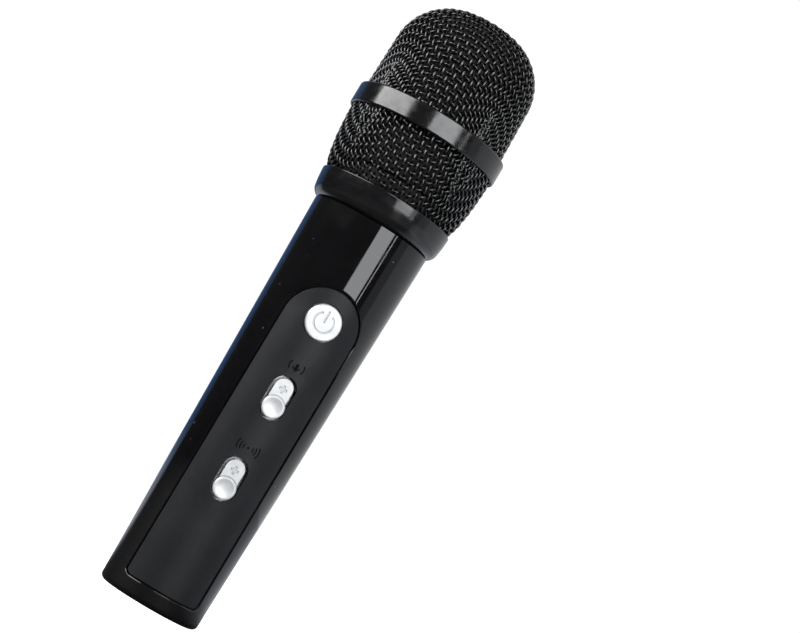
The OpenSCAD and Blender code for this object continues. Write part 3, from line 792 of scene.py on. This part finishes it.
def cloth_quarter(skin, pitch, count, closest):
    """Crossings of a quarter of a flat square cloth drawn over a skin, in rows from the pole outwards:
    each crossing lies one pitch from the two before it, and a row can't crowd closer than closest."""
    net = np.zeros((count + 1, count + 1, 3))
    steps = np.arange(count + 1) * pitch
    net[0] = skin.at(steps, 0)
    net[:, 0] = skin.at(steps, math.pi / 2)
    for row in range(2, count + 1):
        i = np.arange(1, row)
        first, second, behind = net[i - 1, row - i], net[i, row - i - 1], net[i - 1, row - i - 1]
        middle, gap = (first + second) / 2, second - first
        half = np.maximum(np.linalg.norm(gap, axis=1), closest) / 2
        ahead = np.cross(gap, skin.normals(middle))
        ahead *= np.sign((ahead * (middle - behind)).sum(1))[:, None]
        reach = np.sqrt(np.maximum(pitch**2 - half**2, 0))[:, None]
        made = middle
        for _ in range(3):
            made = skin.onto(middle + ahead / np.linalg.norm(ahead, axis=1)[:, None] * reach)
            ahead = made - middle
        line = np.concatenate([net[0, row][None], made, net[row, 0][None]])
        for _ in range(80):
            gap = np.diff(line, axis=0)
            size = np.linalg.norm(gap, axis=1, keepdims=True)
            push = gap * np.minimum(size - closest, 0) / size * 0.5
            line[1:-1] += push[1:] - push[:-1]
            line[1:-1] = skin.onto(line[1:-1])
        net[i, row - i] = line[1:-1]
    return net


def drawn_cloth(skin, pitch, count, turn, closest, rounds=900):
    """Crossings of a whole cloth, and which of them exist. The wires keep their spacing along their
    own length, the cells shear, and the wires' stiffness spreads each bend."""
    quarter = cloth_quarter(skin, pitch, count, closest)
    i, j = np.meshgrid(np.arange(-count, count + 1), np.arange(-count, count + 1), indexing="ij")
    exists = np.abs(i) + np.abs(j) <= count
    points = quarter[np.abs(i) * exists, np.abs(j) * exists]
    points = points * np.stack([np.where(i < 0, -1, 1), np.where(j < 0, -1, 1), np.ones_like(i)], -1)
    whole, front, back, mid = slice(None), slice(1, None), slice(None, -1), slice(1, -1)
    edges = (((back, whole), (front, whole)), ((whole, back), (whole, front)))
    diagonals = (((back, back), (front, front)), ((front, back), (back, front)))
    runs = (
        ((slice(None, -2), whole), (mid, whole), (slice(2, None), whole)),
        ((whole, slice(None, -2)), (whole, mid), (whole, slice(2, None))),
    )
    for _ in range(rounds):
        push = np.zeros_like(points)
        for pairs, least in ((edges, None), (diagonals, 1.25 * closest)):
            for a, b in pairs:
                gap = points[b] - points[a]
                size = np.linalg.norm(gap, axis=-1, keepdims=True) + 1e-12
                miss = size - pitch if least is None else np.minimum(size - least, 0)
                move = np.where((exists[a] & exists[b])[..., None], gap * miss / size * 0.25, 0)
                push[a] += move
                push[b] -= move
        for a, b, c in runs:
            inner = (exists[a] & exists[b] & exists[c])[..., None]
            push[b] += np.where(inner, ((points[a] + points[c]) / 2 - points[b]) * 0.08, 0)
        points = skin.onto(points + push)
    turn = math.radians(turn)
    x, y = points[..., 0].copy(), points[..., 1].copy()
    points[..., 0] = x * math.cos(turn) - y * math.sin(turn)
    points[..., 1] = x * math.sin(turn) + y * math.cos(turn)
    return points, exists


def wire_runs(points, exists, keep):
    """Each wire's stretches of crossings that are inside the shown part, as (start index, array)."""
    runs = []
    for i in range(points.shape[0]):
        shown = exists[i] & keep(points[i])
        j = 0
        while j < len(shown):
            if not shown[j]:
                j += 1
                continue
            end = j
            while end + 1 < len(shown) and shown[end + 1]:
                end += 1
            low, high = max(j - 1, 0), min(end + 1, len(shown) - 1)
            low = low if exists[i, low] else j
            high = high if exists[i, high] else end
            if high - low >= 2:
                runs.append((i + low, points[i, low : high + 1]))
            j = end + 1
    return runs


def spline(points, steps):
    """Points along a smooth curve through all the given ones, with steps to each stretch."""
    ends = np.concatenate([[2 * points[0] - points[1]], points, [2 * points[-1] - points[-2]]])
    a, b, c, d = ends[:-3], ends[1:-2], ends[2:-1], ends[3:]
    t = (np.arange(steps) / steps)[:, None, None]
    made = 0.5 * (
        2 * b + (c - a) * t + (2 * a - 5 * b + 4 * c - d) * t**2 + (3 * b - a - 3 * c + d) * t**3
    )
    made = made.transpose(1, 0, 2).reshape(-1, points.shape[1])
    return np.concatenate([made, points[-1:]])


def woven_wires(name, skin, runs, first_over, wire_r, limits, material, node, steps=5, sides=8):
    """Round wires that pass over and under at each crossing, joined into one piece. Each point
    keeps how far out its wire stands there, from 0 to 1, as crest."""
    points, faces, crests = [], [], []
    ring_angles = np.arange(sides) * 2 * math.pi / sides
    for start, run in runs:
        line = skin.onto(spline(run, steps))
        normal = skin.normals(line)
        along = np.arange(len(line)) / steps + start + first_over
        wave = np.cos(along * math.pi)
        line = line + normal * wave[:, None] * wire_r * 0.97
        inside = (line[:, 2] >= limits[0]) & (line[:, 2] <= limits[1])
        if inside.sum() < 3:
            continue
        picked = np.flatnonzero(inside)
        line, normal = line[picked[0] : picked[-1] + 1], normal[picked[0] : picked[-1] + 1]
        tangent = np.gradient(line, axis=0)
        tangent /= np.linalg.norm(tangent, axis=1)[:, None]
        side = np.cross(tangent, normal)
        side /= np.linalg.norm(side, axis=1)[:, None]
        top = np.cross(side, tangent)
        rings = (
            line[:, None]
            + wire_r * np.cos(ring_angles)[None, :, None] * side[:, None]
            + wire_r * np.sin(ring_angles)[None, :, None] * top[:, None]
        )
        base = len(points)
        points += list(rings.reshape(-1, 3))
        crests.append(np.repeat(0.5 + 0.5 * wave[picked[0] : picked[-1] + 1], sides))
        for k in range(len(line) - 1):
            for s in range(sides):
                a, b = base + k * sides + s, base + k * sides + (s + 1) % sides
                faces.append((a, b, b + sides, a + sides))
        faces.append(tuple(base + s for s in reversed(range(sides))))
        faces.append(tuple(base + (len(line) - 1) * sides + s for s in range(sides)))
    mesh = bpy.data.meshes.new(name)
    mesh.from_pydata([tuple(p) for p in points], [], faces)
    mesh.shade_smooth()
    mesh.materials.append(material)
    crest = mesh.attributes.new("crest", "FLOAT", "POINT")
    crest.data.foreach_set("value", np.concatenate(crests))
    piece = bpy.data.objects.new(name, mesh)
    bpy.context.scene.collection.objects.link(piece)
    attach(piece, "grille_head")
    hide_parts(node)
    return piece


def weave(name, skin, pitch, count, turn, wire_r, limits, material, node):
    """Both families of wires of one grille, as two pieces."""
    crossings, exists = drawn_cloth(skin, pitch, count, turn, 0.62 * pitch)

    def keep(line):
        return (line[:, 2] > limits[0]) & (line[:, 2] < limits[1])

    warp = wire_runs(crossings, exists, keep)
    weft = wire_runs(crossings.transpose(1, 0, 2), exists.T, keep)
    woven_wires(name + "_warp", skin, warp, 0, wire_r, limits, material, node)
    woven_wires(name + "_weft", skin, weft, 1, wire_r, limits, material, node)


WIRE_R = 0.34 * MM


def arc_points(centre, radius, start, end, steps):
    """Points of an arc in the (radius, height) plane, between two angles in degrees."""
    angles = np.radians(np.linspace(start, end, steps))
    return [(centre[0] + radius * math.cos(a), centre[1] + radius * math.sin(a)) for a in angles]


def upper_grille(material):
    """The domed grille, drawn from one blank of cloth with its centre on the axis."""
    low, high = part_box("grille_upper")
    side_r = ring_radius("grille_upper", low.z)
    inset = 1.97 * WIRE_R + 0.02 * MM
    dome_round, arc_r = 20.5 * MM, 7.1 * MM
    arc_z = high.z - dome_round
    top = [(arc_r * k / 6, high.z - inset) for k in range(6)]
    shoulder = arc_points((arc_r, arc_z), dome_round - inset, 90, 0, 48)
    foot_z = low.z - 16 * MM
    slope = (side_r - arc_r - dome_round) / (arc_z - low.z)
    shoulder_r = shoulder[-1][0]
    side = [
        (shoulder_r + slope * (arc_z - z), z) for z in np.linspace(arc_z, foot_z, 40)[1:]
    ]
    skin = Skin(top + shoulder + side, arc_z - 6 * MM)
    weave(
        "grille_dome", skin, 2.38 * MM, 32, -16, WIRE_R, (low.z, high.z), material, "grille_upper"
    )


def lower_grille(material):
    """The conical grille, the side of a cup that was drawn downwards and had its bottom cut out."""
    low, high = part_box("grille_lower")
    top_r = high.x
    inset = 1.97 * WIRE_R + 0.02 * MM
    collar_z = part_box("collar_ring")[1].z
    foot_r = ring_radius("grille_lower", low.z)
    knees = [167.4 * MM, 171 * MM, 178 * MM, 186 * MM]
    knee_radii = [ring_radius("grille_lower", z) for z in knees]
    cup_z, corner = low.z - 8 * MM, 6 * MM
    corner_r = foot_r - inset - corner
    bottom = [(corner_r * k / 10, cup_z) for k in range(10)]
    bottom += arc_points((corner_r, cup_z + corner), corner, -90, 0, 16)
    heights = np.linspace(cup_z + corner, high.z + 12 * MM, 60)[1:]
    radii = np.interp(
        heights,
        [low.z, collar_z + 0.4 * MM, *knees, high.z, high.z + 12 * MM],
        [foot_r, foot_r, *knee_radii, top_r, top_r + 0.4 * MM],
    )
    radii = np.convolve(np.pad(radii, 1, mode="edge"), np.ones(3) / 3, "valid")
    side = [(r - inset, z) for r, z in zip(radii, heights)]
    skin = Skin(bottom + side, (low.z + high.z) / 2)
    weave(
        "grille_cone", skin, 2.5 * MM, 34, -11, WIRE_R, (low.z, high.z), material, "grille_lower"
    )


def rough_field(points, size, seed):
    """A smooth, seeded roughness between -1 and 1 at each point, with bumps of about this size."""
    source = np.random.default_rng(seed)
    total = np.zeros(len(points))
    for _ in range(28):
        direction = source.normal(size=3)
        direction *= 2 * math.pi / size / np.linalg.norm(direction) * source.uniform(0.7, 1.5)
        total += np.sin(points @ direction + source.uniform(0, 2 * math.pi))
    return np.clip(total / 7, -1, 1)


def foam_liner(material):
    """Soft open-cell skin behind the grilles, with a pitted outer face."""
    low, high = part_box("foam_liner")
    band_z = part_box("grille_band")[1].z
    side_r = high.x
    shoulder_r = 7.1 * MM
    dome_round = side_r - shoulder_r - 0.3 * MM
    arc_z = high.z - dome_round
    low_r = ring_radius("foam_liner", low.z)
    outside = [(low_r - 2.4 * MM, low.z + 0.5 * MM), (low_r - 0.8 * MM, low.z)]
    outside += [(low_r - 0.2 * MM, z) for z in np.linspace(low.z + 0.7 * MM, band_z - 4.5 * MM, 26)]
    outside += [(side_r - 0.3 * MM, z) for z in np.linspace(band_z - 1.5 * MM, arc_z, 24)]
    outside += arc_points((shoulder_r, arc_z), dome_round, 0, 90, 44)[1:]
    outside += [(shoulder_r * k / 6, high.z) for k in range(5, -1, -1)]
    inside = [(0, high.z - 3.8 * MM)] + arc_points((shoulder_r, arc_z), dome_round - 3.8 * MM, 90, 0, 14)
    inside += [(low_r - 2.6 * MM, band_z - 2 * MM), (low_r - 2.8 * MM, low.z + 3 * MM)]
    outline = outside + inside
    segments = 200
    points, faces = lathe(outline, segments)
    points = np.array(points)
    columns = len(outline) + 1
    depth = np.zeros(columns)
    depth[2 : len(outside) - 1] = 1
    depth = np.tile(depth, segments)
    pits = 0.5 + 0.3 * rough_field(points, 1.5 * MM, 7) + 0.2 * rough_field(points, 4.5 * MM, 8)
    centre = np.array([0, 0, (low.z + arc_z) / 2])
    away = points - centre
    away[:, 2] *= np.clip((points[:, 2] - arc_z) / dome_round, 0, 1)
    size = np.linalg.norm(away, axis=1, keepdims=True) + 1e-9
    points = points - away / size * (depth * pits)[:, None] * 0.7 * MM
    piece = finish_piece("foam_lining", points, faces, material, "grille_head", "foam_liner")
    return piece


make_camera()
make_lights()
make_world()
make_floor()
MATERIALS = make_materials()
dress_cad_nodes(MATERIALS)
barrel_shell(Barrel(), MATERIALS["gloss_black"])
collar_ring(MATERIALS["worn_gloss"])
grille_band(MATERIALS["worn_gloss"])
upper_grille(MATERIALS["grille_black"])
lower_grille(MATERIALS["grille_black"])
foam_liner(MATERIALS["foam"])

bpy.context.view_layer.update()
import json
